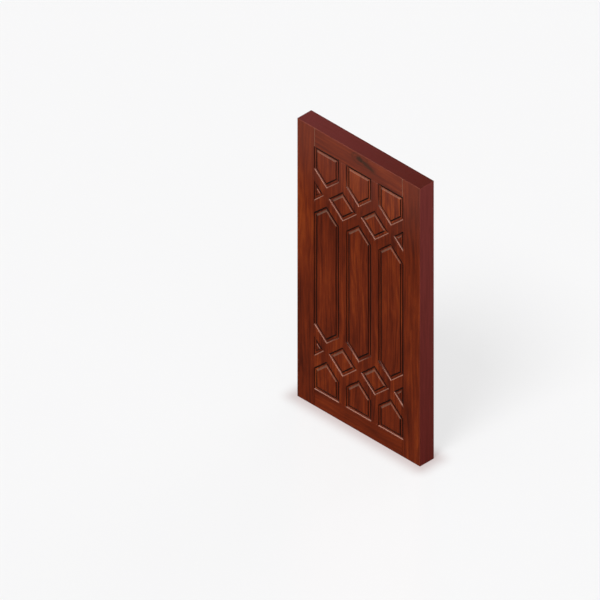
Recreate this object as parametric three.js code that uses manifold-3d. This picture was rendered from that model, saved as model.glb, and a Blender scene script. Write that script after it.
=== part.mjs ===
// Solid wood door leaf: two stiles and two rails round a pierced lattice, with seventeen panels.
// Millimetres. X runs along the width, the front faces -Y, Z goes up from the underside at 0.
import * as THREE from 'three';
import { mergeVertices } from 'three/addons/utils/BufferGeometryUtils.js';
import Module from 'manifold-3d';

const wasm = await Module();
wasm.setup();

// Leaf
const leafWidth = 1040;
const leafHeight = 2040;
const leafThickness = 120;
const arris = 2; // eased edge round the front and back faces
const cornerEase = 1.5; // eased upright and level corners of the leaf's outline

// Frame, measured on the face from the leaf's edge to the moulding
const stileFace = 140;
const topRailFace = 134;
const bottomRailFace = 123;

// Lattice
const columnCount = 3;
const muntinFace = 57.5;
const strapFace = 58; // slanting straps between pentagons and diamonds
const sideStrapFace = 62; // slanting straps beside the triangles
const strapAngle = THREE.MathUtils.degToRad(42);
const upperBandDrop = 460; // from the leaf's top down to the upper row of crossings
const lowerBandHeight = 440; // from its underside up to the lower row
const tipSpacing = 129; // between the points of the openings above and below a crossing

// Moulding worked on the front edges of stiles, rails and lattice
const mouldingWidth = 8;
const mouldingDepth = 5.5;
const mouldingQuirk = 1; // upright step where the moulding leaves the face
const mouldingCrown = 0.9; // how far it swells from a straight slope
const mouldingSteps = 4;

// Plain chamfer in its place on the back
const backChamferWidth = 8;
const backChamferDepth = 5.5;

// Raised panels
const marginWidth = 12; // flat strip between moulding and raised field
const fieldBevelWidth = 10;
const fieldSink = 0.5; // the field lies this far under the frame's face
const fieldShoulder = 1.2; // upright step round the front field
const bevelHollow = 0.6; // how far the front bevel is dished
const bevelSteps = 3;
const smallestFieldShare = 0.12; // of a panel's inner radius, kept as flat field on small panels

// Joints
const grooveWidth = 25;
const grooveDepth = 14;
const tongueSideClearance = 0.5;
const tongueEndClearance = 1;
const panelClearance = 0.5; // open line between moulding and panel
const shoulderClearance = 0.3; // between pieces that meet face to face
const tenonLength = 90;
const tenonThickness = 40;
const tenonSetback = 22; // from both edges of a rail
const tenonSideClearance = 0.3;
const tenonEndClearance = 1.5;
const jointVee = 2; // width and depth of the chamfer on each side of a shoulder line, front and back
const cutOvershoot = 2; // how far a cutting tool passes the surface it opens

// Sizes that follow from those above
const frontFace = -leafThickness / 2;
const backFace = leafThickness / 2;
const halfWidth = leafWidth / 2;
const openingWidth = (leafWidth - 2 * stileFace - (columnCount - 1) * muntinFace) / columnCount;
const columnPitch = openingWidth + muntinFace;
const slope = Math.tan(strapAngle);
const tipRise = (openingWidth / 2) * slope;
const openingTop = leafHeight - topRailFace;
const upperBandHeight = leafHeight - upperBandDrop;
const openingBottom = bottomRailFace;
const stileEdge = halfWidth - stileFace - mouldingWidth; // inner edge of the right stile
const topRailEdge = openingTop - mouldingWidth;
const bottomRailEdge = openingBottom + mouldingWidth;
const tongueThickness = grooveWidth - 2 * tongueSideClearance;
const tongueLength = grooveDepth - tongueEndClearance;

const columnCentre = (column) => (column - (columnCount - 1) / 2) * columnPitch;

// Outlines are lists of [x, z] points, counter-clockwise seen from the front.
function upperPentagon(centre) {
  const left = centre - openingWidth / 2;
  const right = centre + openingWidth / 2;
  const tip = upperBandHeight + tipSpacing / 2;
  return [
    [left, tip + tipRise], [centre, tip], [right, tip + tipRise],
    [right, openingTop], [left, openingTop],
  ];
}

function lowerPentagon(centre) {
  const left = centre - openingWidth / 2;
  const right = centre + openingWidth / 2;
  const tip = lowerBandHeight - tipSpacing / 2;
  return [
    [left, openingBottom], [right, openingBottom],
    [right, tip - tipRise], [centre, tip], [left, tip - tipRise],
  ];
}

function longHexagon(centre) {
  const left = centre - openingWidth / 2;
  const right = centre + openingWidth / 2;
  const high = upperBandHeight - tipSpacing / 2;
  const low = lowerBandHeight + tipSpacing / 2;
  return [
    [centre, low], [right, low + tipRise], [right, high - tipRise],
    [centre, high], [left, high - tipRise], [left, low + tipRise],
  ];
}

function diamond(centre, height) {
  const halfHeight = tipSpacing / 2 + (columnPitch / 2) * slope - strapFace / Math.cos(strapAngle);
  const reach = halfHeight / slope;
  return [
    [centre, height - halfHeight], [centre + reach, height],
    [centre, height + halfHeight], [centre - reach, height],
  ];
}

// side is -1 for the triangle against the left stile and +1 for the one against the right stile
function sideTriangle(side, height) {
  const halfHeight = tipSpacing / 2 + tipRise - sideStrapFace / Math.cos(strapAngle);
  const upright = side * (halfWidth - stileFace);
  const point = upright - side * (halfHeight / slope);
  const outline = [[upright, height + halfHeight], [upright, height - halfHeight], [point, height]];
  return side < 0 ? outline : outline.reverse();
}

// Every corner moved inwards so that each side lies `inset` inside its old line; negative moves out.
function insetOutline(outline, inset) {
  return outline.map((corner, index) => {
    const before = outline[(index + outline.length - 1) % outline.length];
    const after = outline[(index + 1) % outline.length];
    const here = new THREE.Vector2(...corner);
    const arriving = here.clone().sub(new THREE.Vector2(...before)).normalize();
    const leaving = new THREE.Vector2(...after).sub(here).normalize();
    const inwardArriving = new THREE.Vector2(-arriving.y, arriving.x);
    const inwardLeaving = new THREE.Vector2(-leaving.y, leaving.x);
    const mitre = inwardArriving.clone().add(inwardLeaving);
    mitre.multiplyScalar(inset / (1 + inwardArriving.dot(inwardLeaving)));
    return [here.x + mitre.x, here.y + mitre.y];
  });
}

// Radius of the circle that touches every side, or the nearest sides, from the outline's middle
function innerRadius(outline) {
  const middleX = outline.reduce((sum, [x]) => sum + x / outline.length, 0);
  const middleZ = outline.reduce((sum, [, z]) => sum + z / outline.length, 0);
  const distances = outline.map(([x, z], index) => {
    const [nextX, nextZ] = outline[(index + 1) % outline.length];
    const length = Math.hypot(nextX - x, nextZ - z);
    return ((nextX - x) * (middleZ - z) - (nextZ - z) * (middleX - x)) / length;
  });
  return Math.min(...distances);
}

// Closed body through a stack of insets of one outline; each level is [inset, y], front to back.
function mitredStack(outline, levels) {
  const sides = outline.length;
  const positions = levels.flatMap(([inset, y]) => (
    insetOutline(outline, inset).flatMap(([x, z]) => [x, y, z])
  ));
  const faces = [];
  for (let level = 0; level < levels.length - 1; level++) {
    for (let side = 0; side < sides; side++) {
      const a = level * sides + side;
      const b = level * sides + (side + 1) % sides;
      faces.push(a, a + sides, b, b, a + sides, b + sides);
    }
  }
  const last = (levels.length - 1) * sides;
  for (let side = 1; side < sides - 1; side++) {
    faces.push(0, side, side + 1);
    faces.push(last, last + side + 1, last + side);
  }
  const geometry = new THREE.BufferGeometry();
  geometry.setAttribute('position', new THREE.Float32BufferAttribute(positions, 3));
  geometry.setIndex(faces);
  return geometry;
}

function box(low, high) {
  const size = high.map((value, axis) => value - low[axis]);
  const middle = high.map((value, axis) => (value + low[axis]) / 2);
  return new THREE.BoxGeometry(...size).translate(...middle);
}

function toSolid(geometry) {
  const bare = geometry.clone();
  bare.deleteAttribute('normal');
  bare.deleteAttribute('uv');
  const merged = mergeVertices(bare, 1e-4);
  const vertProperties = new Float32Array(merged.attributes.position.array);
  const triVerts = new Uint32Array(merged.index.array);
  return new wasm.Manifold(new wasm.Mesh({ numProp: 3, vertProperties, triVerts }));
}

function toGeometry(solid) {
  const mesh = solid.getMesh();
  const geometry = new THREE.BufferGeometry();
  geometry.setAttribute('position', new THREE.Float32BufferAttribute(mesh.vertProperties, 3));
  geometry.setIndex(Array.from(mesh.triVerts));
  return geometry;
}

// Points of the front moulding as [inset, depth], from the face down to its foot
function mouldingCurve() {
  const drop = mouldingDepth - mouldingQuirk;
  const run = Math.hypot(mouldingWidth, drop);
  return Array.from({ length: mouldingSteps + 1 }, (_, step) => {
    const along = step / mouldingSteps;
    const swell = (mouldingCrown * Math.sin(Math.PI * along)) / run;
    const inset = along * mouldingWidth + swell * drop;
    const depth = mouldingQuirk + along * drop - swell * mouldingWidth;
    return [inset, depth];
  });
}

// Points of the front bevel as [inset, depth], from the margin up to the shoulder of the field
function bevelCurve(start, width) {
  const rise = mouldingDepth - fieldSink - fieldShoulder;
  const run = Math.hypot(width, rise);
  return Array.from({ length: bevelSteps + 1 }, (_, step) => {
    const along = step / bevelSteps;
    const dish = (bevelHollow * Math.sin(Math.PI * along)) / run;
    return [start + along * width + dish * rise, mouldingDepth - along * rise + dish * width];
  });
}

// Tool that opens the lattice right through, with both mouldings and the panel's groove
function openingCut(outline) {
  const moulding = mouldingCurve();
  return mitredStack(outline, [
    [0, frontFace - cutOvershoot],
    ...moulding.map(([inset, depth]) => [inset, frontFace + depth]),
    [mouldingWidth, -grooveWidth / 2],
    [mouldingWidth - grooveDepth, -grooveWidth / 2],
    [mouldingWidth - grooveDepth, grooveWidth / 2],
    [mouldingWidth, grooveWidth / 2],
    [backChamferWidth, backFace - backChamferDepth],
    [0, backFace],
    [0, backFace + cutOvershoot],
  ]);
}

// Tools that work only the moulding and the back chamfer, on a stile or rail that ends at its edge
function edgeCuts(outline) {
  const moulding = mouldingCurve();
  const [foot, beforeFoot] = [moulding[mouldingSteps], moulding[mouldingSteps - 1]];
  const fall = (foot[1] - beforeFoot[1]) / (foot[0] - beforeFoot[0]);
  const reach = mouldingWidth + cutOvershoot;
  const front = mitredStack(outline, [
    [0, frontFace - cutOvershoot],
    ...moulding.map(([inset, depth]) => [inset, frontFace + depth]),
    [reach, frontFace + mouldingDepth + fall * cutOvershoot],
  ]);
  const back = mitredStack(outline, [
    [reach, backFace - (backChamferDepth / backChamferWidth) * reach],
    [0, backFace],
    [0, backFace + cutOvershoot],
  ]);
  return [front, back];
}

// Raised and fielded panel with a tongue all round
function panelGeometry(outline) {
  const edge = mouldingWidth + panelClearance;
  const bevelStart = mouldingWidth + marginWidth;
  const bevelRoom = innerRadius(outline) * (1 - smallestFieldShare) - bevelStart;
  const bevelWidth = Math.min(fieldBevelWidth, bevelRoom);
  const tongueEdge = mouldingWidth - tongueLength;
  const bevel = bevelCurve(bevelStart, bevelWidth).reverse();
  return mitredStack(outline, [
    [bevelStart + bevelWidth, frontFace + fieldSink],
    ...bevel.map(([inset, depth]) => [inset, frontFace + depth]),
    [edge, frontFace + mouldingDepth],
    [edge, -tongueThickness / 2],
    [tongueEdge, -tongueThickness / 2],
    [tongueEdge, tongueThickness / 2],
    [edge, tongueThickness / 2],
    [edge, backFace - backChamferDepth],
    [bevelStart, backFace - backChamferDepth],
    [bevelStart + bevelWidth, backFace - fieldSink],
  ]);
}

// Upright three-sided tool that chamfers stile and rail along a shoulder line.
// `outward` is the direction in Y that the chamfered face points to.
function veeCut(x, face, outward, { low, high }) {
  const across = jointVee + cutOvershoot;
  const section = new THREE.Shape([
    new THREE.Vector2(x - across, face + outward * cutOvershoot),
    new THREE.Vector2(x, face - outward * jointVee),
    new THREE.Vector2(x + across, face + outward * cutOvershoot),
  ]);
  const depth = high - low + 2 * cutOvershoot;
  const tool = new THREE.ExtrudeGeometry(section, { depth, bevelEnabled: false });
  return tool.translate(0, 0, low - cutOvershoot);
}

// The whole leaf as one blank with eased edges, which every frame piece is taken from
function leafBlank() {
  const outline = [
    [-halfWidth + cornerEase, 0], [halfWidth - cornerEase, 0],
    [halfWidth, cornerEase], [halfWidth, leafHeight - cornerEase],
    [halfWidth - cornerEase, leafHeight], [-halfWidth + cornerEase, leafHeight],
    [-halfWidth, leafHeight - cornerEase], [-halfWidth, cornerEase],
  ];
  return mitredStack(outline, [
    [arris, frontFace], [0, frontFace + arris],
    [0, backFace - arris], [arris, backFace],
  ]);
}

// Every opening with the tone of the panel in it
const openings = [];
function addOpening(name, outline, tone) {
  openings.push({ name, outline, tone });
}

for (let column = 0; column < columnCount; column++) {
  const centre = columnCentre(column);
  addOpening(`upper_pentagon_${column + 1}`, upperPentagon(centre), 0.52 + 0.24 * column);
  addOpening(`long_panel_${column + 1}`, longHexagon(centre), 0.45 + 0.1 * column);
  addOpening(`lower_pentagon_${column + 1}`, lowerPentagon(centre), 0.6 - 0.1 * column);
}
for (const [band, height] of [['upper', upperBandHeight], ['lower', lowerBandHeight]]) {
  for (let gap = 0; gap < columnCount - 1; gap++) {
    const centre = (columnCentre(gap) + columnCentre(gap + 1)) / 2;
    addOpening(`${band}_diamond_${gap + 1}`, diamond(centre, height), 0.35 + 0.2 * gap);
  }
  addOpening(`${band}_triangle_left`, sideTriangle(-1, height), 0.3);
  addOpening(`${band}_triangle_right`, sideTriangle(1, height), 0.4);
}

// Box of the leaf between two pairs of planes, deep enough to take the whole thickness
function regionSolid(lowX, highX, lowZ, highZ) {
  const beyond = cutOvershoot;
  return toSolid(box([lowX, frontFace - beyond, lowZ], [highX, backFace + beyond, highZ]));
}

function grooveSolid(lowX, highX, lowZ, highZ) {
  return toSolid(box([lowX, -grooveWidth / 2, lowZ], [highX, grooveWidth / 2, highZ]));
}

const blank = toSolid(leafBlank());
const rails = {
  top_rail: { low: topRailEdge, high: leafHeight },
  bottom_rail: { low: 0, high: bottomRailEdge },
};
const shoulderLines = [-1, 1].map((side) => side * (stileEdge - shoulderClearance / 2));
const veeTools = Object.values(rails).flatMap((rail) => shoulderLines.flatMap((x) => (
  [veeCut(x, frontFace, -1, rail), veeCut(x, backFace, 1, rail)].map(toSolid)
)));
const mouldingTools = openings.flatMap(({ outline }) => edgeCuts(outline).map(toSolid));
const edgeTools = [...mouldingTools, ...veeTools];

// Stile with its moulded edge, the long groove and a mortise for each rail
function stileGeometry(side) {
  const beyond = halfWidth + cutOvershoot;
  const span = (from, to) => [Math.min(side * from, side * to), Math.max(side * from, side * to)];
  const [lowX, highX] = span(stileEdge, beyond);
  let solid = blank.intersect(regionSolid(lowX, highX, -cutOvershoot, leafHeight + cutOvershoot));
  for (const tool of edgeTools) {
    solid = solid.subtract(tool);
  }
  const groove = span(stileEdge - cutOvershoot, stileEdge + grooveDepth);
  const [grooveLow, grooveHigh] = [bottomRailEdge - grooveDepth, topRailEdge + grooveDepth];
  solid = solid.subtract(grooveSolid(...groove, grooveLow, grooveHigh));
  const [near, far] = span(stileEdge - cutOvershoot, stileEdge + tenonLength + tenonEndClearance);
  const halfMortise = tenonThickness / 2 + tenonSideClearance;
  for (const { low, high } of Object.values(rails)) {
    const mortiseLow = low + tenonSetback - tenonSideClearance;
    const mortiseHigh = high - tenonSetback + tenonSideClearance;
    const mortise = box([near, -halfMortise, mortiseLow], [far, halfMortise, mortiseHigh]);
    solid = solid.subtract(toSolid(mortise));
  }
  return toGeometry(solid);
}

// Rail between the stiles, with its moulded edge, its groove and a stub tenon at each end
function railGeometry({ low, high }) {
  const shoulder = stileEdge - shoulderClearance;
  let solid = blank.intersect(regionSolid(-shoulder, shoulder, low, high));
  for (const tool of edgeTools) {
    solid = solid.subtract(tool);
  }
  const inner = low > leafHeight / 2 ? low : high;
  solid = solid.subtract(grooveSolid(
    -stileEdge, stileEdge,
    inner === low ? low - cutOvershoot : high - grooveDepth,
    inner === low ? low + grooveDepth : high + cutOvershoot,
  ));
  const reach = stileEdge + tenonLength;
  const tenon = box(
    [-reach, -tenonThickness / 2, low + tenonSetback],
    [reach, tenonThickness / 2, high - tenonSetback],
  );
  return toGeometry(solid.add(toSolid(tenon)));
}

// Muntins and straps in one, with a tongue where it meets the stiles and rails
function latticeGeometry() {
  const side = stileEdge - shoulderClearance;
  const low = bottomRailEdge + shoulderClearance;
  const high = topRailEdge - shoulderClearance;
  const tongueReach = stileEdge + tongueLength;
  const tongue = box(
    [-tongueReach, -tongueThickness / 2, bottomRailEdge - tongueLength],
    [tongueReach, tongueThickness / 2, topRailEdge + tongueLength],
  );
  let solid = blank.intersect(regionSolid(-side, side, low, high)).add(toSolid(tongue));
  for (const { outline } of openings) {
    solid = solid.subtract(toSolid(openingCut(outline)));
  }
  return toGeometry(solid);
}

// Stained and varnished hardwood; tone runs from the darkest panels at 0 to the orange ones at 1
function stainedWood(tone) {
  const color = new THREE.Color('#5c2413').lerp(new THREE.Color('#85432a'), tone);
  return new THREE.MeshStandardMaterial({ color, roughness: 0.42, metalness: 0 });
}

function addPiece(group, name, geometry, tone) {
  geometry.computeVertexNormals();
  const mesh = new THREE.Mesh(geometry, stainedWood(tone));
  mesh.name = name;
  group.add(mesh);
}

const door = new THREE.Group();
addPiece(door, 'left_stile', stileGeometry(-1), 0.55);
addPiece(door, 'right_stile', stileGeometry(1), 0.35);
addPiece(door, 'top_rail', railGeometry(rails.top_rail), 0.6);
addPiece(door, 'bottom_rail', railGeometry(rails.bottom_rail), 0.4);
addPiece(door, 'lattice', latticeGeometry(), 0.45);
for (const { name, outline, tone } of openings) {
  addPiece(door, name, panelGeometry(outline), tone);
}

export default door;
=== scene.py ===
import math

import bmesh
import bpy
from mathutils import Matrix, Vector


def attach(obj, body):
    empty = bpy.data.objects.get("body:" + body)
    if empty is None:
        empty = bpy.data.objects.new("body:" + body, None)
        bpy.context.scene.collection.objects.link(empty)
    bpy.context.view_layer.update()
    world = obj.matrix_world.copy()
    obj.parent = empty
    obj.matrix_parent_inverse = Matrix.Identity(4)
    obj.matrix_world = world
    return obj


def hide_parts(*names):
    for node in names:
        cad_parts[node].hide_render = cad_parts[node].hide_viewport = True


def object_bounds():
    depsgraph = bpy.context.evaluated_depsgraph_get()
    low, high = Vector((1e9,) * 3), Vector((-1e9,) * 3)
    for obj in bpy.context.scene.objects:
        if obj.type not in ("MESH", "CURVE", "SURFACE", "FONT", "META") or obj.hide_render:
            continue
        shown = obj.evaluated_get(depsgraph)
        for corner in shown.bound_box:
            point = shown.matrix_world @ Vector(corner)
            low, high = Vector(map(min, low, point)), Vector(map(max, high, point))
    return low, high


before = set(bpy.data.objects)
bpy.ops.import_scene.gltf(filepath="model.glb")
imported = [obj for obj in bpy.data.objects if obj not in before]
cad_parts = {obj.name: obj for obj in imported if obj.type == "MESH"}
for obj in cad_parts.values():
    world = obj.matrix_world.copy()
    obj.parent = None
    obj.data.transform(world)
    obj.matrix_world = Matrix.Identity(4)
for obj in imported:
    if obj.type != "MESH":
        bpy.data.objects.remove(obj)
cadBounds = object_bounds()
leafLow, leafHigh = (Vector(corner) for corner in cadBounds)
mm = 0.001
print("frame loaded:", len(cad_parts), "nodes, leaf", [round(size, 3) for size in leafHigh - leafLow])


# Node tree helpers

def addNode(tree, kind, inputs=None, **settings):
    made = tree.nodes.new(kind)
    for key, value in settings.items():
        setattr(made, key, value)
    for key, value in (inputs or {}).items():
        socket = made.inputs[key]
        if isinstance(value, bpy.types.NodeSocket):
            tree.links.new(value, socket)
        else:
            socket.default_value = value
    return made


def addMath(tree, operation, first, second=0.0, clamp=False):
    made = addNode(tree, "ShaderNodeMath", {0: first, 1: second}, operation=operation, use_clamp=clamp)
    return made.outputs[0]


def addVector(tree, operation, first, second=(0, 0, 0)):
    other = "Scale" if operation == "SCALE" else 1
    made = addNode(tree, "ShaderNodeVectorMath", {0: first, other: second}, operation=operation)
    return made.outputs["Value"] if operation in ("LENGTH", "DOT_PRODUCT") else made.outputs[0]


# Runs from 0 at the first value to 1 at the second, which may be the lower one
def addRange(tree, value, none, full, smooth=True):
    made = addNode(
        tree, "ShaderNodeMapRange", {"Value": value, "From Min": none, "From Max": full},
        interpolation_type="SMOOTHSTEP" if smooth else "LINEAR",
    )
    return made.outputs["Result"]


def addMix(tree, factor, first, second):
    return addNode(tree, "ShaderNodeMix", {0: factor, 6: first, 7: second}, data_type="RGBA").outputs[2]


def addNoise(tree, vector, scale, detail=2.0, roughness=0.5):
    inputs = {"Vector": vector, "Scale": scale, "Detail": detail, "Roughness": roughness}
    return addNode(tree, "ShaderNodeTexNoise", inputs).outputs["Fac"]


def addAttribute(tree, name, output="Fac"):
    return addNode(tree, "ShaderNodeAttribute", attribute_name=name).outputs[output]


def addGroup(tree, group, inputs):
    return addNode(tree, "ShaderNodeGroup", inputs, node_tree=group).outputs


def newGroup(name, inputs, outputs, kind="ShaderNodeTree"):
    tree = bpy.data.node_groups.new(name, kind)
    for label, socketType, default in inputs:
        socket = tree.interface.new_socket(label, in_out="INPUT", socket_type=socketType)
        if default is not None:
            socket.default_value = default
    for label, socketType in outputs:
        tree.interface.new_socket(label, in_out="OUTPUT", socket_type=socketType)
    return tree, tree.nodes.new("NodeGroupInput").outputs, tree.nodes.new("NodeGroupOutput").inputs


# Colour from 0 to 255 as a screen shows it
def srgb(*parts):
    shares = [part / 255 for part in parts]
    linear = [share / 12.92 if share < 0.0404 else ((share + 0.055) / 1.055) ** 2.4 for share in shares]
    return (*linear, 1.0)


# Noises of the timber: stretch along the grain, scale, detail, roughness
grainLayers = {
    "sway": (0.3, 2.6, 2.0, 0.5),
    "broad": (0.05, 26.0, 2.0, 0.5),
    "streak": (0.025, 105.0, 4.0, 0.62),
    "fleck": (0.05, 210.0, 2.0, 0.5),
    "fibre": (0.02, 620.0, 2.0, 0.6),
    "cloud": (0.45, 5.5, 3.0, 0.55),
    "pore": (0.035, 1150.0, 1.0, 0.5),
}
grainSet = {
    "shiftStep": (7.31, 3.17, 11.73),  # one unit of board shift moves the pattern by this
    "swayWidth": 0.07,
    "figureStretch": 0.12,
    "figure": {
        "Scale": 9.0, "Distortion": 14.0, "Detail": 3.0, "Detail Scale": 1.6, "Detail Roughness": 0.55,
    },
    "broadShare": 0.40,
    "streakShare": 0.48,
    "figureShare": 0.12,
    "stripeContrast": 3.2,
    "cloudContrast": 0.95,
    "fleckRange": (0.60, 0.78),
    "fleckInDark": (0.62, 0.42),  # flecks keep to the dark stripes
    "fleckShare": 0.75,
    "fibreRange": (0.35, 0.7),
    "fibreShare": 0.25,
    "poreRange": (0.60, 0.70),
    "poreShare": 0.6,
    "fibreHeight": 0.35,
    "streakHeight": 0.25,
    "poreDepth": 0.5,
}


# Stained timber. Grain runs along Z of the vector it is given.
def buildGrain():
    tree, given, result = newGroup(
        "stainedGrain",
        [
            ("Vector", "NodeSocketVector", None),
            ("Board Shift", "NodeSocketFloat", 0.0),
            ("Tone", "NodeSocketFloat", 0.5),
            ("Stripe", "NodeSocketFloat", 0.5),
            ("Dark", "NodeSocketColor", srgb(70, 22, 12)),
            ("Middle", "NodeSocketColor", srgb(112, 42, 22)),
            ("Light", "NodeSocketColor", srgb(150, 66, 32)),
        ],
        [
            ("Color", "NodeSocketColor"), ("Fibre", "NodeSocketFloat"), ("Streak", "NodeSocketFloat"),
            ("Height", "NodeSocketFloat"),
        ],
    )

    def layer(name, vector):
        stretch, scale, detail, roughness = grainLayers[name]
        stretched = addVector(tree, "MULTIPLY", vector, (1.0, 1.0, stretch))
        return addNoise(tree, stretched, scale, detail, roughness)

    def weighed(value, share):
        return addMath(tree, "MULTIPLY", value, share)

    def centred(value):
        return addMath(tree, "SUBTRACT", value, 0.5)

    shift = addVector(tree, "SCALE", grainSet["shiftStep"], given["Board Shift"])
    spot = addVector(tree, "ADD", given["Vector"], shift)
    sway = weighed(centred(layer("sway", spot)), grainSet["swayWidth"])
    swayed = addVector(tree, "ADD", spot, addNode(tree, "ShaderNodeCombineXYZ", {"X": sway}).outputs[0])
    broad, streak, fleck, fibre = (layer(name, swayed) for name in ("broad", "streak", "fleck", "fibre"))
    pore = addRange(tree, layer("pore", swayed), *grainSet["poreRange"])
    along = addVector(tree, "MULTIPLY", swayed, (1.0, 1.0, grainSet["figureStretch"]))
    figure = addNode(
        tree, "ShaderNodeTexWave", {"Vector": along, **grainSet["figure"]},
        wave_type="BANDS", bands_direction="X", wave_profile="SIN",
    ).outputs["Fac"]
    stripes = addMath(
        tree, "ADD", weighed(broad, grainSet["broadShare"]), weighed(streak, grainSet["streakShare"]),
    )
    stripes = addMath(tree, "ADD", stripes, weighed(figure, grainSet["figureShare"]))
    spread = weighed(centred(stripes), weighed(given["Stripe"], grainSet["stripeContrast"]))
    clouded = weighed(centred(layer("cloud", spot)), grainSet["cloudContrast"])
    toned = addMath(tree, "ADD", addMath(tree, "ADD", spread, given["Tone"]), clouded, clamp=True)
    lower = addMix(tree, addRange(tree, toned, 0.0, 0.5, smooth=False), given["Dark"], given["Middle"])
    overlaid = addMix(tree, addRange(tree, toned, 0.5, 1.0, smooth=False), lower, given["Light"])
    flecks = addRange(tree, fleck, *grainSet["fleckRange"])
    flecks = addMath(tree, "MULTIPLY", flecks, addRange(tree, broad, *grainSet["fleckInDark"]))
    fibres = addRange(tree, fibre, *grainSet["fibreRange"])
    for mask, share in ((flecks, "fleckShare"), (fibres, "fibreShare"), (pore, "poreShare")):
        overlaid = addMix(tree, weighed(mask, grainSet[share]), overlaid, given["Dark"])
    height = addMath(
        tree, "SUBTRACT", weighed(fibre, grainSet["fibreHeight"]), weighed(pore, grainSet["poreDepth"]),
    )
    height = addMath(tree, "ADD", height, weighed(streak, grainSet["streakHeight"]))
    for label, value in (("Color", overlaid), ("Fibre", fibre), ("Streak", streak), ("Height", height)):
        tree.links.new(value, result[label])
    return tree


planeReach = 0.3 * mm  # how near the outermost plane a spot counts as the leaf's side or end


# Masks of the leaf's plain outside: its two sides, its head and foot, and the eased corner of its faces
def buildOutside():
    tree, given, result = newGroup(
        "leafOutside",
        [
            ("Vector", "NodeSocketVector", None),
            ("Corner Width", "NodeSocketFloat", 3.0 * mm),
        ],
        [
            ("Side", "NodeSocketFloat"), ("End", "NodeSocketFloat"), ("Corner", "NodeSocketFloat"),
            ("Height Share", "NodeSocketFloat"), ("Width Share", "NodeSocketFloat"),
        ],
    )
    middle = (leafLow + leafHigh) / 2
    half = (leafHigh - leafLow) / 2
    offset = addVector(tree, "SUBTRACT", given["Vector"], tuple(middle))
    near = addNode(tree, "ShaderNodeSeparateXYZ", {0: addVector(tree, "ABSOLUTE", offset)}).outputs
    fromSide = addMath(tree, "SUBTRACT", half.x, near["X"])
    fromEnd = addMath(tree, "SUBTRACT", half.z, near["Z"])
    fromFace = addMath(tree, "SUBTRACT", half.y, near["Y"])
    edge = addMath(tree, "ADD", addMath(tree, "MINIMUM", fromSide, fromEnd), fromFace)
    fullyWorn = addMath(tree, "MULTIPLY", given["Corner Width"], 0.5)
    place = addNode(tree, "ShaderNodeSeparateXYZ", {0: offset}).outputs
    for label, value in (
        ("Side", addMath(tree, "LESS_THAN", fromSide, planeReach)),
        ("End", addMath(tree, "LESS_THAN", fromEnd, planeReach)),
        ("Corner", addRange(tree, edge, given["Corner Width"], fullyWorn)),
        ("Height Share", addRange(tree, place["Z"], -half.z, half.z, smooth=False)),
        ("Width Share", addRange(tree, place["X"], -half.x, half.x, smooth=False)),
    ):
        tree.links.new(value, result[label])
    return tree


# Ranges of a facing's share along one axis, from none to full, for the slopes that each effect takes
mouldingFacings = {
    "upward": (0.08, 0.24),
    "gentle": (0.71, 0.78),
    "notUnder": (-0.3, -0.1),
    "grooveAcross": (0.64, 0.69),
    "grooveFront": (0.60, 0.69),
}
mouldingFade = 1.2 * mm  # depth over which the painted shade and the painted highlight fade


# Slopes of the moulding: painted shade darkens them, less deep down on all but the downward ones, and those
# facing upwards get a painted highlight near the face
def buildMouldingTone():
    tree, given, result = newGroup(
        "mouldingPaintedLight",
        [
            ("Vector", "NodeSocketVector", None),
            ("Normal", "NodeSocketVector", None),
            ("Flat", "NodeSocketFloat", 0.985),
            ("Steep", "NodeSocketFloat", 0.90),
            ("Highlight Depth", "NodeSocketFloat", 2.4 * mm),
            ("Shade Depth", "NodeSocketFloat", 3.2 * mm),
            ("Deep Share", "NodeSocketFloat", 0.6),
        ],
        [("Painted Shade", "NodeSocketFloat"), ("Painted Highlight", "NodeSocketFloat"), ("Shoulder Highlight", "NodeSocketFloat")],
    )
    facing = addNode(tree, "ShaderNodeSeparateXYZ", {0: given["Normal"]}).outputs
    spot = addNode(tree, "ShaderNodeSeparateXYZ", {0: given["Vector"]}).outputs
    facingFront = addMath(tree, "ABSOLUTE", facing["Y"])
    slope = addRange(tree, facingFront, given["Flat"], given["Steep"])
    fromFace = addMath(tree, "SUBTRACT", leafHigh.y, addMath(tree, "ABSOLUTE", spot["Y"]))
    upward = addMath(tree, "MULTIPLY", slope, addRange(tree, facing["Z"], *mouldingFacings["upward"]))
    highlightEnd = addMath(tree, "ADD", given["Highlight Depth"], mouldingFade)
    nearFace = addRange(tree, fromFace, highlightEnd, given["Highlight Depth"])
    gentle = addRange(tree, facingFront, *mouldingFacings["gentle"])
    highlight = addMath(tree, "MULTIPLY", upward, addMath(tree, "MULTIPLY", nearFace, gentle))
    shadeEnd = addMath(tree, "ADD", given["Shade Depth"], mouldingFade)
    thinning = addRange(tree, fromFace, given["Shade Depth"], shadeEnd)
    thinning = addMath(tree, "MULTIPLY", thinning, addRange(tree, facing["Z"], *mouldingFacings["notUnder"]))
    thinned = addMath(tree, "MULTIPLY", thinning, addMath(tree, "SUBTRACT", 1.0, given["Deep Share"]))
    shadeMask = addMath(tree, "MULTIPLY", slope, addMath(tree, "SUBTRACT", 1.0, thinned))
    # Painted highlight on the flanks of the V-grooves, which painted shade keeps off
    across = addRange(tree, addMath(tree, "ABSOLUTE", facing["X"]), *mouldingFacings["grooveAcross"])
    frontward = addRange(tree, facingFront, *mouldingFacings["grooveFront"])
    shoulderHighlight = addMath(tree, "MULTIPLY", across, frontward)
    clean = addMath(tree, "ADD", highlight, shoulderHighlight)
    tree.links.new(addMath(tree, "SUBTRACT", shadeMask, clean, clamp=True), result["Painted Shade"])
    tree.links.new(highlight, result["Painted Highlight"])
    tree.links.new(shoulderHighlight, result["Shoulder Highlight"])
    return tree


panelToneSet = {
    "shadeAim": (-0.62, 0.0, -0.78),  # sides that point inwards this way get the widest painted shadow
    "shadeTurn": (-0.12, 0.12),
    "upwardTurn": (-0.3, -0.6),
    "bevelStop": 0.4,  # mm short of the field
    "bevelFade": 0.9,
}
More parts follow.
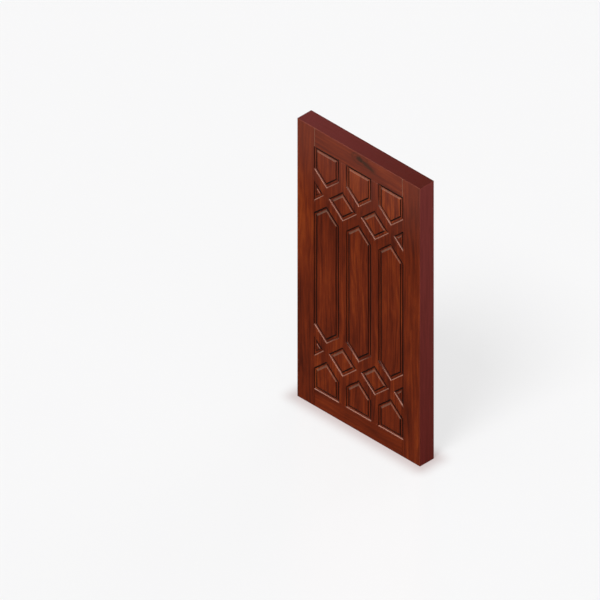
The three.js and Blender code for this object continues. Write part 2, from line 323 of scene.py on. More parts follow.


# On a panel, painted shadow darkens the channel next to the moulding, widest on the sides the moulding
# shades, and painted shade darkens the bevel; the bevel's upward sides get a painted highlight instead.
# Insets are in millimetres.
def buildPanelTone():
    tree, given, result = newGroup(
        "panelPaintedLight",
        [
            ("Inset", "NodeSocketFloat", 0.0),
            ("Side Aim", "NodeSocketVector", None),
            ("Channel End", "NodeSocketFloat", 9.5),
            ("Shaded Width", "NodeSocketFloat", 10.0),
            ("Bevel Start", "NodeSocketFloat", 19.5),
            ("Bevel Lead", "NodeSocketFloat", 4.5),
            ("Low Lead", "NodeSocketFloat", 2.5),
            ("Field Inset", "NodeSocketFloat", 30.0),
            ("Softness", "NodeSocketFloat", 2.0),
        ],
        [("Painted Shade", "NodeSocketFloat"), ("Painted Highlight", "NodeSocketFloat")],
    )
    inset, soft = given["Inset"], given["Softness"]
    aim = addNode(tree, "ShaderNodeSeparateXYZ", {0: given["Side Aim"]}).outputs
    shade = addVector(tree, "DOT_PRODUCT", given["Side Aim"], panelToneSet["shadeAim"])
    widening = addMath(tree, "MULTIPLY", addMath(tree, "MAXIMUM", shade, 0.0), given["Shaded Width"])
    channelEnd = addMath(tree, "ADD", given["Channel End"], widening)
    # Painted shadow in the channel, wider where the moulding shades it
    channel = addRange(tree, inset, channelEnd, addMath(tree, "SUBTRACT", channelEnd, soft))
    channel = addMath(tree, "MULTIPLY", channel, addRange(tree, shade, *panelToneSet["shadeTurn"]))
    sideLead = addMath(tree, "MULTIPLY", aim["X"], given["Bevel Lead"])
    lowLead = addMath(tree, "MULTIPLY", addMath(tree, "MAXIMUM", aim["Z"], 0.0), given["Low Lead"])
    bevelStart = addMath(tree, "SUBTRACT", given["Bevel Start"], addMath(tree, "ADD", sideLead, lowLead))
    rising = addRange(tree, inset, bevelStart, addMath(tree, "ADD", bevelStart, soft))
    bevelEnd = addMath(tree, "SUBTRACT", given["Field Inset"], panelToneSet["bevelStop"])
    ending = addRange(tree, inset, addMath(tree, "ADD", bevelEnd, panelToneSet["bevelFade"]), bevelEnd)
    bevel = addMath(tree, "MULTIPLY", rising, ending)
    highlight = addMath(tree, "MULTIPLY", bevel, addRange(tree, aim["Z"], *panelToneSet["upwardTurn"]))
    shadeMask = addMath(tree, "MAXIMUM", channel, addMath(tree, "SUBTRACT", bevel, highlight))
    tree.links.new(shadeMask, result["Painted Shade"])
    tree.links.new(highlight, result["Painted Highlight"])
    return tree


knotSet = {
    "roundness": (0.55, 0.0, 1.0),  # wider than high
    "bend": -0.85,
    "ragged": (90.0, 2.0, 1.2),  # noise scale, detail and reach, in radii
    "heart": (1.5, 0.5),
    "ringRadius": 1.9,
    "ringWidth": (0.45, 0.1),
    "ringShare": 0.45,
    "wanderStretch": (0.35, 1.0, 1.6),
    "wander": (55.0, 3.0, 0.6, 2.6),  # noise scale, detail, roughness and reach
    "trailWidth": (1.5, 0.3),
    "trailStart": (0.05, 0.25),
    "trailEnd": (1.15, 0.7),
    "trailShare": 0.9,
}


# A knot that the grain flows round, with a smudge trailing off; it gives back a bent vector and a darkness
def buildKnot():
    tree, given, result = newGroup(
        "knot",
        [
            ("Vector", "NodeSocketVector", None),
            ("Centre", "NodeSocketVector", (0.0, 0.0, 0.0)),
            ("Radius", "NodeSocketFloat", 12.0 * mm),
            ("Trail Length", "NodeSocketFloat", 130.0 * mm),
            ("Trail Slope", "NodeSocketFloat", -0.27),
        ],
        [("Vector", "NodeSocketVector"), ("Dark", "NodeSocketFloat")],
    )
    offset = addVector(tree, "SUBTRACT", given["Vector"], given["Centre"])
    flat = addVector(tree, "MULTIPLY", offset, knotSet["roundness"])
    away = addMath(tree, "DIVIDE", addVector(tree, "LENGTH", flat), given["Radius"])
    falloff = addMath(tree, "DIVIDE", 1.0, addMath(tree, "ADD", addMath(tree, "MULTIPLY", away, away), 1.0))
    bend = addMath(tree, "MULTIPLY", falloff, knotSet["bend"])
    push = addVector(tree, "SCALE", addVector(tree, "MULTIPLY", offset, (0.0, 0.0, 1.0)), bend)
    tree.links.new(addVector(tree, "ADD", given["Vector"], push), result["Vector"])
    scale, detail, reach = knotSet["ragged"]
    rag = addMath(tree, "SUBTRACT", addNoise(tree, offset, scale, detail), 0.5)
    ragged = addMath(tree, "ADD", away, addMath(tree, "MULTIPLY", rag, reach))
    heart = addRange(tree, ragged, *knotSet["heart"])
    fromRing = addMath(tree, "ABSOLUTE", addMath(tree, "SUBTRACT", ragged, knotSet["ringRadius"]))
    ring = addRange(tree, fromRing, *knotSet["ringWidth"])
    parts = addNode(tree, "ShaderNodeSeparateXYZ", {0: offset}).outputs
    along = addMath(tree, "DIVIDE", parts["X"], given["Trail Length"])
    lift = addMath(tree, "SUBTRACT", parts["Z"], addMath(tree, "MULTIPLY", parts["X"], given["Trail Slope"]))
    scale, detail, roughness, reach = knotSet["wander"]
    thin = addVector(tree, "MULTIPLY", offset, knotSet["wanderStretch"])
    wander = addMath(tree, "SUBTRACT", addNoise(tree, thin, scale, detail, roughness), 0.5)
    fromTrail = addMath(tree, "ABSOLUTE", addMath(tree, "DIVIDE", lift, given["Radius"]))
    strayed = addMath(tree, "ADD", fromTrail, addMath(tree, "MULTIPLY", wander, reach))
    trail = addRange(tree, strayed, *knotSet["trailWidth"])
    for ends in ("trailStart", "trailEnd"):
        trail = addMath(tree, "MULTIPLY", trail, addRange(tree, along, *knotSet[ends]))
    faintTrail = addMath(tree, "MULTIPLY", trail, knotSet["trailShare"])
    faintRing = addMath(tree, "MULTIPLY", ring, knotSet["ringShare"])
    outer = addMath(tree, "MAXIMUM", faintTrail, faintRing)
    tree.links.new(addMath(tree, "MAXIMUM", heart, outer), result["Dark"])
    return tree


grainGroup = buildGrain()
outsideGroup = buildOutside()
mouldingToneGroup = buildMouldingTone()
panelToneGroup = buildPanelTone()
knotGroup = buildKnot()

woodSet = {
    "dark": srgb(64, 17, 5),
    "middle": srgb(118, 42, 15),
    "light": srgb(158, 69, 25),
    # Painted shade on the moulding slopes and in the panels' channels and bevels; painted highlights on the
    # upward slopes and in the top rail's grooves
    "paintedShadeColour": srgb(15, 4, 2),
    "paintedShadeShare": 1.0,
    # Painted highlight on the upward-facing moulding slopes and panel bevels
    "frameHighlight": srgb(174, 123, 105),
    "frameHighlightShare": 1.0,
    "panelHighlight": srgb(120, 105, 90),
    "panelHighlightShare": 0.38,
    "shoulderHighlight": srgb(186, 130, 106),
    "shoulderHighlightFrom": (0.928, 0.934),  # share of the height; only the top rail's grooves get the painted highlight
    "knot": srgb(64, 44, 34),
    "knotShare": 0.95,
    "headSheen": srgb(150, 88, 78),  # painted sheen, paler towards the head as if lit from above
    "headSheenShare": 0.22,
    "headSheenFrom": (0.70, 1.0),
    # The sides are paler at the head and darker at the foot: painted light from above
    "sideHigh": srgb(146, 63, 60),
    "sideLow": srgb(121, 41, 35),
    "endLeft": srgb(88, 32, 31),
    "endRight": srgb(69, 13, 5),
    "outsideCover": 0.92,
    "outsideStreak": 0.25,
    "streakRange": (0.40, 0.62),
    # The eased arris: painted highlight, and a worn finish that is rougher and uncoated
    "cornerWornHighlight": srgb(112, 50, 36),
    "cornerWidth": 3.2 * mm,
    "cornerRoughness": 0.3,
    "roughness": 0.38,
    "fibreRoughness": 0.12,
    "specular": 0.12,
    "coat": 0.35,
    "coatRoughness": 0.18,
    "bump": 0.25,
    "bumpDistance": 0.5 * mm,
}


def woodMaterial(name, look):
    material = bpy.data.materials.new(name)
    material.use_nodes = True
    tree = material.node_tree
    tree.nodes.clear()
    own = tree.nodes.new("ShaderNodeTexCoord").outputs
    place, facing = own["Object"], own["Normal"]

    def overlaid(colour, mask, share, topColour):
        return addMix(tree, addMath(tree, "MULTIPLY", mask, share), colour, topColour)

    turned = place
    if "knot" in look:
        knot = addGroup(tree, knotGroup, {
            "Vector": place, "Centre": look["knot"], "Radius": look["knotRadius"],
        })
        turned = knot["Vector"]
    if look["level"]:
        quarterTurn = (0.0, math.radians(90.0), 0.0)
        turned = addNode(tree, "ShaderNodeMapping", {"Vector": turned, "Rotation": quarterTurn}).outputs[0]
    if look["ownTone"]:
        tone, stripe, shift = (addAttribute(tree, "board" + label) for label in ("Tone", "Stripe", "Shift"))
        paintedLight = addGroup(tree, panelToneGroup, {
            "Inset": addAttribute(tree, "edgeInset"),
            "Side Aim": addAttribute(tree, "sideAim", "Vector"),
            "Field Inset": addAttribute(tree, "fieldInset"),
        })
        highlight, highlightShare = woodSet["panelHighlight"], woodSet["panelHighlightShare"]
    else:
        tone, stripe, shift = look["tone"], look["stripe"], look["shift"]
        paintedLight = addGroup(tree, mouldingToneGroup, {"Vector": place, "Normal": facing})
        highlight, highlightShare = woodSet["frameHighlight"], woodSet["frameHighlightShare"]
    grain = addGroup(tree, grainGroup, {
        "Vector": turned, "Board Shift": shift, "Tone": tone, "Stripe": stripe,
        "Dark": woodSet["dark"], "Middle": woodSet["middle"], "Light": woodSet["light"],
    })
    outside = addGroup(tree, outsideGroup, {"Vector": place, "Corner Width": woodSet["cornerWidth"]})
    # Painted light over the grain: a paler sheen towards the head, painted shade on slopes and in channels,
    # and painted highlights on the upward ones
    headward = addRange(tree, outside["Height Share"], *woodSet["headSheenFrom"])
    colour = overlaid(grain["Color"], headward, woodSet["headSheenShare"], woodSet["headSheen"])
    if "knot" in look:
        colour = overlaid(colour, knot["Dark"], woodSet["knotShare"], woodSet["knot"])
    colour = overlaid(colour, paintedLight["Painted Shade"], woodSet["paintedShadeShare"], woodSet["paintedShadeColour"])
    colour = overlaid(colour, paintedLight["Painted Highlight"], highlightShare, highlight)
    fibreRoughness = addMath(tree, "MULTIPLY", grain["Fibre"], woodSet["fibreRoughness"])
    roughness = addMath(tree, "ADD", fibreRoughness, woodSet["roughness"])
    coat = woodSet["coat"]
    if look["outer"]:
        # Sides paler at the head and darker at the foot: painted light
        side = addMix(tree, outside["Height Share"], woodSet["sideLow"], woodSet["sideHigh"])
        end = addMix(tree, outside["Width Share"], woodSet["endLeft"], woodSet["endRight"])
        grainStreaks = addRange(tree, grain["Streak"], *woodSet["streakRange"])
        side = overlaid(side, grainStreaks, woodSet["outsideStreak"], woodSet["dark"])
        end = overlaid(end, grainStreaks, woodSet["outsideStreak"], woodSet["dark"])
        # Painted highlight in the top rail's grooves
        high = addRange(tree, outside["Height Share"], *woodSet["shoulderHighlightFrom"])
        colour = overlaid(colour, paintedLight["Shoulder Highlight"], high, woodSet["shoulderHighlight"])
        # Painted highlight on the eased arris
        colour = addMix(tree, outside["Corner"], colour, woodSet["cornerWornHighlight"])
        colour = overlaid(colour, outside["Side"], woodSet["outsideCover"], side)
        colour = overlaid(colour, outside["End"], woodSet["outsideCover"], end)
        wornRoughness = addMath(tree, "MULTIPLY", outside["Corner"], woodSet["cornerRoughness"])
        roughness = addMath(tree, "ADD", roughness, wornRoughness, clamp=True)
        coat = addMath(tree, "MULTIPLY", addMath(tree, "SUBTRACT", 1.0, outside["Corner"]), coat)
    bump = addNode(tree, "ShaderNodeBump", {
        "Height": grain["Height"], "Strength": woodSet["bump"], "Distance": woodSet["bumpDistance"],
    })
    shader = addNode(tree, "ShaderNodeBsdfPrincipled", {
        "Base Color": colour,
        "Roughness": roughness,
        "Specular IOR Level": woodSet["specular"],
        "Coat Weight": coat,
        "Coat Roughness": woodSet["coatRoughness"],
        "Normal": bump.outputs["Normal"],
    })
    addNode(tree, "ShaderNodeOutputMaterial", {"Surface": shader.outputs[0]})
    return material


upright = {"level": False, "ownTone": False, "outer": True}
lying = {"level": True, "ownTone": False, "outer": True}
boardLooks = {
    "leftStileWood": {**upright, "tone": 0.40, "stripe": 0.5, "shift": 0.11},
    "rightStileWood": {**upright, "tone": 0.44, "stripe": 0.5, "shift": 0.63},
    "topRailWood": {
        **lying, "tone": 0.44, "stripe": 0.6, "shift": 0.27,
        "knot": (0.012, 0.0, 2.001), "knotRadius": 19.0 * mm,
    },
    "bottomRailWood": {**lying, "tone": 0.42, "stripe": 0.35, "shift": 0.71},
    "latticeWood": {**upright, "tone": 0.44, "stripe": 0.6, "shift": 0.47, "outer": False},
    "panelWood": {"level": False, "ownTone": True, "outer": False},
}
woods = {name: woodMaterial(name, look) for name, look in boardLooks.items()}
print("materials made:", ", ".join(woods))


# Pieces

def finishPiece(piece, node):
    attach(piece, "root")
    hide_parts(node)


def addObject(name, mesh):
    made = bpy.data.objects.new(name, mesh)
    bpy.context.scene.collection.objects.link(made)
    return made


def setModifierInput(modifier, label, value):
    for item in modifier.node_group.interface.items_tree:
        if item.item_type == "SOCKET" and item.in_out == "INPUT" and item.name == label:
            modifier[item.identifier] = value
            return
    raise ValueError("no input " + label)


# Turns the evaluated object into a plain mesh and drops its modifiers
def bakeModifiers(piece):
    graph = bpy.context.evaluated_depsgraph_get()
    mesh = bpy.data.meshes.new_from_object(
        piece.evaluated_get(graph), preserve_all_data_layers=True, depsgraph=graph,
    )
    piece.modifiers.clear()
    old = piece.data
    piece.data = mesh
    bpy.data.meshes.remove(old)


memberSet = {
    "easeWidth": 0.5,  # mm, rounding of every sharp edge
    "easeSteps": 2,
    "sharpestKept": 28.0,  # degrees; gentler folds belong to the moulding's curve
    "weldDistance": 0.01,  # mm
}


# A frame member is a welded copy of its solid with eased edges
def addMember(node, name, material):
    build = bmesh.new()
    build.from_mesh(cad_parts[node].data)
    bmesh.ops.remove_doubles(build, verts=build.verts, dist=memberSet["weldDistance"] * mm)
    for face in build.faces:
        face.smooth = True
    mesh = bpy.data.meshes.new(name)
    build.to_mesh(mesh)
    build.free()
    mesh.materials.append(material)
    piece = addObject(name, mesh)
    ease = piece.modifiers.new("ease", "BEVEL")
    ease.width = memberSet["easeWidth"] * mm
    ease.segments = memberSet["easeSteps"]
    ease.limit_method = "ANGLE"
    ease.angle_limit = math.radians(memberSet["sharpestKept"])
    ease.use_clamp_overlap = False
    ease.miter_outer = "MITER_ARC"
    normals = piece.modifiers.new("normals", "WEIGHTED_NORMAL")
    normals.keep_sharp = False
    bakeModifiers(piece)
    finishPiece(piece, node)


for node, wood, slot in (
    ("left_stile", "leftStileWood", "stile_wood"),
    ("right_stile", "rightStileWood", "stile_wood"),
    ("top_rail", "topRailWood", "rail_wood"),
    ("bottom_rail", "bottomRailWood", "rail_wood"),
    ("lattice", "latticeWood", "lattice_wood"),
):
    addMember(node, node + "_board", woods[wood])
print("frame members made")


panelSet = {
    "mouldingWidth": 8.0,  # mm; insets count from the opening's outline on the frame's face
    "panelGap": 0.5,
    "tongueInset": -5.0,
    "tongueHalf": 12.0,
    "marginWidth": 12.0,
    "marginDepth": 5.5,
    "shoulder": 1.2,
    "bevelDish": 0.6,
    "bevelSteps": 8,
    "easeRadius": 0.6,
    "easeSteps": 3,
    "easeReach": 0.45,  # most of a side that one rounding takes
    "capReach": 3,  # radii of flat field kept in the section
    "straightest": 20.0,  # degrees; gentler turns of the section aren't eased
    "mergeDistance": 0.02,
    "levelEdge": 0.01,  # an edge whose inset and level change less runs along the section
    "sameLevel": 0.1,  # vertices this near the front of the solid belong to its field
}


# Panel maker: sweeps a section round an outline with true mitres, and closes it with two flat fields
def buildPanelTree():
    tree, given, result = newGroup(
        "raisedPanel",
        [
            ("Outline", "NodeSocketGeometry", None),
            ("Section", "NodeSocketObject", None),
            ("Front Inset", "NodeSocketFloat", 30.0 * mm),
            ("Front Level", "NodeSocketFloat", -59.0 * mm),
            ("Back Inset", "NodeSocketFloat", 30.0 * mm),
            ("Back Level", "NodeSocketFloat", 59.0 * mm),
            ("Material", "NodeSocketMaterial", None),
        ],
        [("Geometry", "NodeSocketGeometry")],
        "GeometryNodeTree",
    )

    def named(label):
        made = addNode(tree, "GeometryNodeInputNamedAttribute", {"Name": label}, data_type="FLOAT_VECTOR")
        return made.outputs["Attribute"]

    def stored(geometry, label, value, kind):
        return addNode(
            tree, "GeometryNodeStoreNamedAttribute", {"Geometry": geometry, "Name": label, "Value": value},
            data_type=kind, domain="POINT",
        ).outputs[0]

    def moved(geometry, inset, level):
        inward = addVector(tree, "SCALE", named("mitre"), inset)
        lift = addNode(tree, "ShaderNodeCombineXYZ", {"Y": level}).outputs[0]
        place = addVector(tree, "ADD", addVector(tree, "ADD", named("corner"), inward), lift)
        return addNode(tree, "GeometryNodeSetPosition", {"Geometry": geometry, "Position": place}).outputs[0]

    place = addNode(tree, "GeometryNodeInputPosition").outputs[0]
    outline = stored(given["Outline"], "corner", place, "FLOAT_VECTOR")
    path = addNode(tree, "GeometryNodeMeshToCurve", {"Mesh": outline}).outputs[0]
    section = addNode(tree, "GeometryNodeObjectInfo", {"Object": given["Section"]}).outputs["Geometry"]
    section = stored(section, "sectionSpot", place, "FLOAT_VECTOR")
    section = addNode(tree, "GeometryNodeMeshToCurve", {"Mesh": section}).outputs[0]
    swept = addNode(tree, "GeometryNodeCurveToMesh", {"Curve": path, "Profile Curve": section}).outputs[0]
    spot = addNode(tree, "ShaderNodeSeparateXYZ", {0: named("sectionSpot")}).outputs
    band = moved(swept, spot["X"], spot["Y"])
    frontField = moved(outline, given["Front Inset"], given["Front Level"])
    backField = moved(outline, given["Back Inset"], given["Back Level"])
    backField = addNode(tree, "GeometryNodeFlipFaces", {"Mesh": backField}).outputs[0]
    joined = tree.nodes.new("GeometryNodeJoinGeometry")
    insets = (spot["X"], given["Front Inset"], given["Back Inset"])
    for part, inset in zip((band, frontField, backField), insets):
        told = stored(part, "edgeInset", addMath(tree, "DIVIDE", inset, mm), "FLOAT")
        tree.links.new(told, joined.inputs[0])
    merging = {"Geometry": joined.outputs[0], "Distance": panelSet["mergeDistance"] * mm}
    whole = addNode(tree, "GeometryNodeMergeByDistance", merging).outputs[0]
    for label in ("corner", "sectionSpot", "mitre"):
        whole = addNode(tree, "GeometryNodeRemoveAttribute", {"Geometry": whole, "Name": label}).outputs[0]
    smooth = addNode(tree, "GeometryNodeSetShadeSmooth", {"Geometry": whole, "Shade Smooth": True}).outputs[0]
    real = addNode(tree, "GeometryNodeRealizeInstances", {"Geometry": smooth}).outputs[0]
    final = addNode(tree, "GeometryNodeSetMaterial", {"Geometry": real, "Material": given["Material"]})
    tree.links.new(final.outputs[0], result["Geometry"])
    return tree


# Inward mitre vector of each corner of an anticlockwise outline
def mitreVectors(outline):
    found = []
    for index, corner in enumerate(outline):
        arriving = (corner - outline[index - 1]).normalized()
        leaving = (outline[(index + 1) % len(outline)] - corner).normalized()
        inArriving = Vector((-arriving.y, arriving.x))
        inLeaving = Vector((-leaving.y, leaving.x))
        found.append((inArriving + inLeaving) / (1 + inArriving.dot(inLeaving)))
    return found


def insetOutline(outline, inset):
    return [corner + mitre * inset for corner, mitre in zip(outline, mitreVectors(outline))]


leastTurn = 0.1 * mm  # a corner that stands out less than this from its neighbours isn't one


def turnAt(before, corner, after):
    return (corner - before).cross(after - before)


# Corners, seen from the front and anticlockwise, of the outline round a node's vertices that pass a test
def outlineOf(node, test=lambda spot: True):
    spots = [vertex.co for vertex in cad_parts[node].data.vertices if test(vertex.co)]
    points = [Vector(point) for point in sorted({(spot.x, spot.z) for spot in spots})]
    outline = []
    for chain in (points, points[::-1]):
        kept = []
        for point in chain:
            while len(kept) > 1 and turnAt(*kept[-2:], point) < leastTurn * (point - kept[-2]).length:
                kept.pop()
            kept.append(point)
        outline += kept[:-1]
    return outline


# How far a point lies inside the nearest side of an anticlockwise outline
def depthInside(outline, point):
    sides = zip(outline, outline[1:] + outline[:1])
    return min((end - start).normalized().cross(point - start) for start, end in sides)


# Rounds the corners of an open section
def easeSection(points):
    radius, reach, steps = panelSet["easeRadius"], panelSet["easeReach"], panelSet["easeSteps"]
    eased = [points[0]]
    for before, point, after in zip(points, points[1:], points[2:]):
        arriving, leaving = (point - before), (after - point)
        if arriving.angle(leaving) < math.radians(panelSet["straightest"]):
            eased.append(point)
            continue
        start = point - arriving.normalized() * min(radius, arriving.length * reach)
        end = point + leaving.normalized() * min(radius, leaving.length * reach)
        for step in range(steps + 1):
            share = step / steps
            eased.append(start.lerp(point, share).lerp(point.lerp(end, share), share))
    return eased + [points[-1]]


# The panel's section as (inset, level), from the front field round the tongue to the back field
def panelSection(fieldInset, fieldSink):
    sizes = panelSet
    halfThickness = leafHigh.y / mm
    edge = sizes["mouldingWidth"] + sizes["panelGap"]
    bevelStart = sizes["mouldingWidth"] + sizes["marginWidth"]
    marginLevel = halfThickness - sizes["marginDepth"]
    fieldLevel = halfThickness - fieldSink
    shoulderLevel = fieldLevel - sizes["shoulder"]
    run, rise = fieldInset - bevelStart, shoulderLevel - marginLevel
    length = math.hypot(run, rise)
    bevel = []
    for step in range(sizes["bevelSteps"] + 1):
        share = 1 - step / sizes["bevelSteps"]
        dish = sizes["bevelDish"] * math.sin(math.pi * share) / length
        bevel.append((bevelStart + share * run + dish * rise, -(marginLevel + share * rise - dish * run)))
    capInset = fieldInset + sizes["capReach"] * sizes["easeRadius"]
    corners = [
        (capInset, -fieldLevel), (fieldInset, -fieldLevel), *bevel, (edge, -marginLevel),
        (edge, -sizes["tongueHalf"]), (sizes["tongueInset"], -sizes["tongueHalf"]),
        (sizes["tongueInset"], sizes["tongueHalf"]), (edge, sizes["tongueHalf"]),
        (edge, marginLevel), (bevelStart, marginLevel), (fieldInset, fieldLevel), (capInset, fieldLevel),
    ]
    return easeSection([Vector(point) for point in corners])


def polylineObject(name, points):
    mesh = bpy.data.meshes.new(name)
    spots = [(point.x * mm, point.y * mm, 0) for point in points]
    mesh.from_pydata(spots, [(index, index + 1) for index in range(len(spots) - 1)], [])
    return addObject(name, mesh)


def addPanel(node, name, look, tree):
    tongue = outlineOf(node)
    outline = insetOutline(tongue, -panelSet["tongueInset"] * mm)
    frontLevel = min(vertex.co.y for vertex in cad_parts[node].data.vertices)
    field = outlineOf(node, lambda spot: spot.y < frontLevel + panelSet["sameLevel"] * mm)
    fieldInset = depthInside(tongue, field[0]) / mm + panelSet["tongueInset"]
    sink = (frontLevel - leafLow.y) / mm
    section = panelSection(fieldInset, sink)
    profile = polylineObject(name + "_section", section)
    mesh = bpy.data.meshes.new(name)
    mesh.from_pydata([(corner.x, 0, corner.y) for corner in outline], [], [range(len(outline))])
    attribute = mesh.attributes.new("mitre", "FLOAT_VECTOR", "POINT")
    for corner, mitre in zip(attribute.data, mitreVectors(outline)):
        corner.vector = (mitre.x, 0, mitre.y)
    piece = addObject(name, mesh)
    maker = piece.modifiers.new("panel", "NODES")
    maker.node_group = tree
    setModifierInput(maker, "Section", profile)
    for label, point in (("Front", section[0]), ("Back", section[-1])):
        setModifierInput(maker, label + " Inset", point.x * mm)
        setModifierInput(maker, label + " Level", point.y * mm)
    setModifierInput(maker, "Material", woods["panelWood"])
    bakeModifiers(piece)
    bpy.data.objects.remove(profile)
    faceOutwards(piece.data)
    sharpenMitres(piece.data)
    storeSideAims(piece.data, outline)
    normals = piece.modifiers.new("normals", "WEIGHTED_NORMAL")
    normals.keep_sharp = True
    bakeModifiers(piece)
    for label, value in {**look, "fieldInset": fieldInset}.items():
        layer = piece.data.attributes.new(label, "FLOAT", "POINT")
        layer.data.foreach_set("value", [value] * len(piece.data.vertices))
    finishPiece(piece, node)


def faceOutwards(mesh):
    build = bmesh.new()
    build.from_mesh(mesh)
    bmesh.ops.recalc_face_normals(build, faces=build.faces)
    build.to_mesh(mesh)
    build.free()


# Edges that run across the section are the mitres, and stay crisp
def sharpenMitres(mesh):
    insets = [item.value for item in mesh.attributes["edgeInset"].data]
    levels = [vertex.co.y / mm for vertex in mesh.vertices]
    for edge in mesh.edges:
        first, second = edge.vertices
        step = max(abs(insets[first] - insets[second]), abs(levels[first] - levels[second]))
        edge.use_edge_sharp = step > panelSet["levelEdge"]


# Each face is told the inward direction of the side of the outline it belongs to
def storeSideAims(mesh, outline):
    sides = [(start, (end - start).normalized()) for start, end in zip(outline, outline[1:] + outline[:1])]
    aims = mesh.attributes.new("sideAim", "FLOAT_VECTOR", "FACE")
    for face, aim in zip(mesh.polygons, aims.data):
        spot = Vector((face.center.x, face.center.z))
        direction = min(sides, key=lambda side: side[1].cross(spot - side[0]))[1]
        aim.vector = (-direction.y, 0, direction.x)


# Tone runs from dark red at 0 to orange at 1; stripe is how strongly the board is figured
panelLooks = {
    "upper_pentagon_1": (0.46, 0.50), "upper_pentagon_2": (0.66, 0.60), "upper_pentagon_3": (0.64, 0.95),
    "upper_diamond_1": (0.48, 0.30), "upper_diamond_2": (0.58, 0.90),
    "upper_triangle_left": (0.42, 0.40), "upper_triangle_right": (0.42, 0.40),
    "long_panel_1": (0.38, 0.50), "long_panel_2": (0.42, 0.60), "long_panel_3": (0.46, 0.60),
    "lower_diamond_1": (0.60, 0.45), "lower_diamond_2": (0.51, 0.80),
    "lower_triangle_left": (0.40, 0.40), "lower_triangle_right": (0.42, 0.40),
    "lower_pentagon_1": (0.56, 0.80), "lower_pentagon_2": (0.51, 0.50), "lower_pentagon_3": (0.48, 0.40),
}
firstShift, shiftStep = 1.0, 0.173  # each panel is cut from another place of the timber
panelTree = buildPanelTree()
for index, (node, (tone, stripe)) in enumerate(panelLooks.items()):
    look = {"boardTone": tone, "boardStripe": stripe, "boardShift": firstShift + shiftStep * index}
    addPanel(node, node + "_board", look, panelTree)
print("panels made:", len(panelLooks))


# Stage: a pale floor, even surroundings and soft lights

stageSet = {
    "floorSize": 60.0,
    "floorColour": (0.16, 0.16, 0.163, 1.0),
    "floorMottle": (2.5, 3.0, 0.985),  # noise scale, detail and the darker share
    "floorGlow": 0.70,
    "floorRoughness": 0.22,
    "contactReach": 0.16,  # metres of soft shade round the leaf's foot
    "contactColour": (0.66, 0.56, 0.55, 1.0),
    "bounceColour": (0.06, 0.055, 0.05, 1.0),  # what the floor throws back at the leaf
    "worldColour": (1.0, 0.98, 0.98, 1.0),
    "worldStrength": 0.14,
}


def addFloor():
    half = stageSet["floorSize"] / 2
    mesh = bpy.data.meshes.new("floor")
    corners = [(-half, -half, 0), (half, -half, 0), (half, half, 0), (-half, half, 0)]
    mesh.from_pydata(corners, [], [(0, 1, 2, 3)])
    material = bpy.data.materials.new("paleFloor")
    material.use_nodes = True
    tree = material.node_tree
    tree.nodes.clear()
    spot = tree.nodes.new("ShaderNodeTexCoord").outputs["Object"]
    scale, detail, share = stageSet["floorMottle"]
    darker = tuple(part * share for part in stageSet["floorColour"][:3]) + (1.0,)
    beyond = addVector(tree, "SUBTRACT", addVector(tree, "ABSOLUTE", spot), (leafHigh.x, leafHigh.y, 0.0))
    away = addVector(tree, "LENGTH", addVector(tree, "MAXIMUM", beyond, (0.0, 0.0, 0.0)))
    contact = addRange(tree, away, stageSet["contactReach"], 0.0)
    contact = addMath(tree, "MULTIPLY", contact, contact)
    seen = addNode(tree, "ShaderNodeBsdfPrincipled", {
        "Base Color": addMix(tree, addNoise(tree, spot, scale, detail), darker, stageSet["floorColour"]),
        "Roughness": stageSet["floorRoughness"],
        "Emission Color": addMix(tree, contact, (1.0, 1.0, 1.0, 1.0), stageSet["contactColour"]),
        "Emission Strength": stageSet["floorGlow"],
    }).outputs[0]
    bounced = addNode(tree, "ShaderNodeBsdfDiffuse", {"Color": stageSet["bounceColour"]}).outputs[0]
    cameraRay = tree.nodes.new("ShaderNodeLightPath").outputs["Is Camera Ray"]
    both = addNode(tree, "ShaderNodeMixShader", {0: cameraRay, 1: bounced, 2: seen}).outputs[0]
    addNode(tree, "ShaderNodeOutputMaterial", {"Surface": both})
    mesh.materials.append(material)
    floor = addObject("floor", mesh)


def addWorld():
    world = bpy.data.worlds.new("studio")
    world.use_nodes = True
    background = world.node_tree.nodes["Background"]
    background.inputs["Color"].default_value = stageSet["worldColour"]
    background.inputs["Strength"].default_value = stageSet["worldStrength"]
    bpy.context.scene.world = world
    bpy.context.scene.view_settings.view_transform = "Standard"


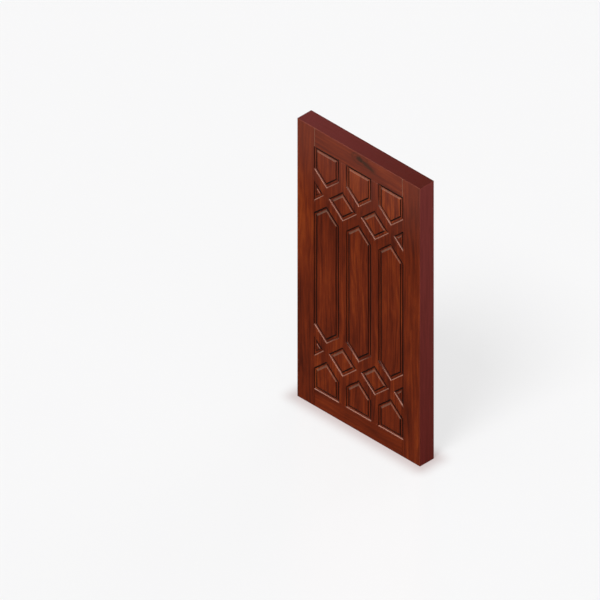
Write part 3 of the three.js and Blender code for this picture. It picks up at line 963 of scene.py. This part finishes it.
# Far soft lamps, so every part of the leaf gets the same light. "towards" points from the leaf to the lamp.
lightSet = {
    "key": {"towards": (0.12, -0.55, 0.82), "strength": 3.4, "angle": 22.0},
    "overhead": {"towards": (0.0, -0.15, 0.99), "strength": 1.2, "angle": 60.0},
    "rightFill": {"towards": (0.95, -0.22, 0.22), "strength": 0.9, "angle": 50.0},
    "backFill": {"towards": (-0.1, 0.99, 0.1), "strength": 1.7, "angle": 50.0},
    "sheenLeft": {"towards": (-0.577, -0.577, 0.577), "strength": 0.9, "angle": 24.0, "sheenOnly": True},
    "sheenFront": {"towards": (0.344, -0.795, 0.462), "strength": 0.9, "angle": 24.0, "sheenOnly": True},
}
sheenColour = (1.0, 0.80, 0.71)


def addLight(name, settings):
    data = bpy.data.lights.new(name, "SUN")
    data.energy = settings["strength"]
    data.angle = math.radians(settings["angle"])
    light = addObject(name, data)
    light.rotation_euler = Vector(settings["towards"]).to_track_quat("Z", "Y").to_euler()
    if settings.get("sheenOnly"):
        light.visible_diffuse = False
        data.color = sheenColour


# A true isometric view, so the picture has no perspective
cameraSet = {
    "azimuth": 45.0,
    "elevation": 35.264,
    "metresAcross": 3.5957,
    "aimRight": -0.3932,  # the picture's middle, along the camera's own right and up
    "aimUp": 0.7627,
    "distance": 9.0,
    "farthest": 60.0,
}


def addCamera():
    azimuth, elevation = math.radians(cameraSet["azimuth"]), math.radians(cameraSet["elevation"])
    right = Vector((math.cos(azimuth), math.sin(azimuth), 0))
    away = Vector((right.y, -right.x, 0))
    back = away * math.cos(elevation) + Vector((0, 0, math.sin(elevation)))
    up = back.cross(right)
    data = bpy.data.cameras.new("camera")
    data.type = "ORTHO"
    data.ortho_scale = cameraSet["metresAcross"]
    data.clip_end = cameraSet["farthest"]
    camera = addObject("camera", data)
    camera.location = right * cameraSet["aimRight"] + up * cameraSet["aimUp"] + back * cameraSet["distance"]
    camera.rotation_euler = back.to_track_quat("Z", "Y").to_euler()
    bpy.context.scene.camera = camera


addFloor()
addWorld()
for name, settings in lightSet.items():
    addLight(name, settings)
addCamera()
print("stage, lights and camera set")
